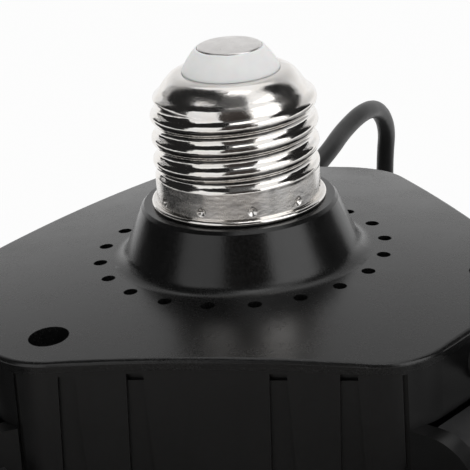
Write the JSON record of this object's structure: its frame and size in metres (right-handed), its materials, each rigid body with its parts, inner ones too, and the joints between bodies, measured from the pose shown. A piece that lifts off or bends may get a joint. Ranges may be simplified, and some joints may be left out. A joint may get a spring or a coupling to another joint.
{
  "type": "folding garage light",
  "caption": "Screw-in garage light: hexagonal hub with a vented cover, and LED wings with finned backs that fold on hinges; each is fed by a looping cable.",
  "frame": {"origin": "on the screw axis, half way up the plain band of the screw shell, which is the screw_base mount", "axes": "+Z along the screw axis towards the lamp holder; wing 1 faces +Y, wings 2 and 3 face 210 and 330 degrees about +Z"},
  "size_m": [0.2854, 0.2534, 0.1183],
  "materials": {
    "black_plastic": "fine-grained semi-gloss moulded plastic",
    "black_housing": "smooth satin moulded plastic",
    "black_casting": "black powder-coated die casting",
    "nickel_shell": "bright nickel-plated sheet",
    "white_insulator": "matt white moulding",
    "contact_metal": "brushed tinned contact",
    "screw_steel": "zinc-plated screw",
    "hinge_steel": "blackened steel",
    "washer_nylon": "dark nylon",
    "black_rubber": "matt rubber",
    "cable_jacket": "satin rubber jacket",
    "circuit_board": "green laminate",
    "ferrite": "grey ferrite",
    "coil_tape": "yellow tape",
    "capacitor_sleeve": "shrink sleeve",
    "film_case": "dipped film capacitor",
    "copper_winding": "enamelled copper wire on a ring",
    "chip_plastic": "moulded package",
    "connector_plastic": "white connector",
    "led_board_white": "white solder mask on aluminium",
    "led_phosphor": "yellow phosphor in a white frame",
    "frosted_lens": "milky polycarbonate"
  },
  "bodies": {
    "hub": {"base_insulator": "white_insulator", "bridge_rectifier": "chip_plastic", "centre_contact": "contact_metal", "cover_screws": "screw_steel", "driver_board": "circuit_board", "driver_chip": "chip_plastic", "driver_screws": "screw_steel", "film_capacitor": "film_case", "hub_housing": "black_housing", "line_choke": "copper_winding", "output_connectors": "connector_plastic", "screw_shell": "nickel_shell", "smoothing_capacitors": "capacitor_sleeve", "top_cover": "black_plastic", "transformer_coil": "coil_tape", "transformer_core": "ferrite", "wing_1_cable": "cable_jacket", "wing_1_friction_washers": "washer_nylon", "wing_1_hinge_bolt": "hinge_steel", "wing_1_hinge_nut": "hinge_steel", "wing_1_hub_grommet": "black_rubber", "wing_2_cable": "cable_jacket", "wing_2_friction_washers": "washer_nylon", "wing_2_hinge_bolt": "hinge_steel", "wing_2_hinge_nut": "hinge_steel", "wing_2_hub_grommet": "black_rubber", "wing_3_cable": "cable_jacket", "wing_3_friction_washers": "washer_nylon", "wing_3_hinge_bolt": "hinge_steel", "wing_3_hinge_nut": "hinge_steel", "wing_3_hub_grommet": "black_rubber"},
    "wing_1": {"wing_1_board_screws": "screw_steel", "wing_1_cable_gland": "black_rubber", "wing_1_heat_sink": "black_casting", "wing_1_led_board": "led_board_white", "wing_1_led_chips": "led_phosphor", "wing_1_lens": "frosted_lens", "wing_1_lens_screws": "screw_steel"},
    "wing_2": {"wing_2_board_screws": "screw_steel", "wing_2_cable_gland": "black_rubber", "wing_2_heat_sink": "black_casting", "wing_2_led_board": "led_board_white", "wing_2_led_chips": "led_phosphor", "wing_2_lens": "frosted_lens", "wing_2_lens_screws": "screw_steel"},
    "wing_3": {"wing_3_board_screws": "screw_steel", "wing_3_cable_gland": "black_rubber", "wing_3_heat_sink": "black_casting", "wing_3_led_board": "led_board_white", "wing_3_led_chips": "led_phosphor", "wing_3_lens": "frosted_lens", "wing_3_lens_screws": "screw_steel"}
  },
  "joints": [
    {"name": "wing_1_fold", "type": "hinge", "parent": "hub", "child": "wing_1", "pos_m": [0, 0.0493, -0.0344], "axis": [-1, 0, 0], "range_deg": [-30, 60], "deforming": ["wing_1_cable"]},
    {"name": "wing_2_fold", "type": "hinge", "parent": "hub", "child": "wing_2", "pos_m": [-0.0427, -0.02465, -0.0344], "axis": [0.5, -0.866, 0], "range_deg": [-30, 60], "deforming": ["wing_2_cable"]},
    {"name": "wing_3_fold", "type": "hinge", "parent": "hub", "child": "wing_3", "pos_m": [0.0427, -0.02465, -0.0344], "axis": [0.5, 0.866, 0], "range_deg": [-30, 60], "deforming": ["wing_3_cable"]}
  ]
}
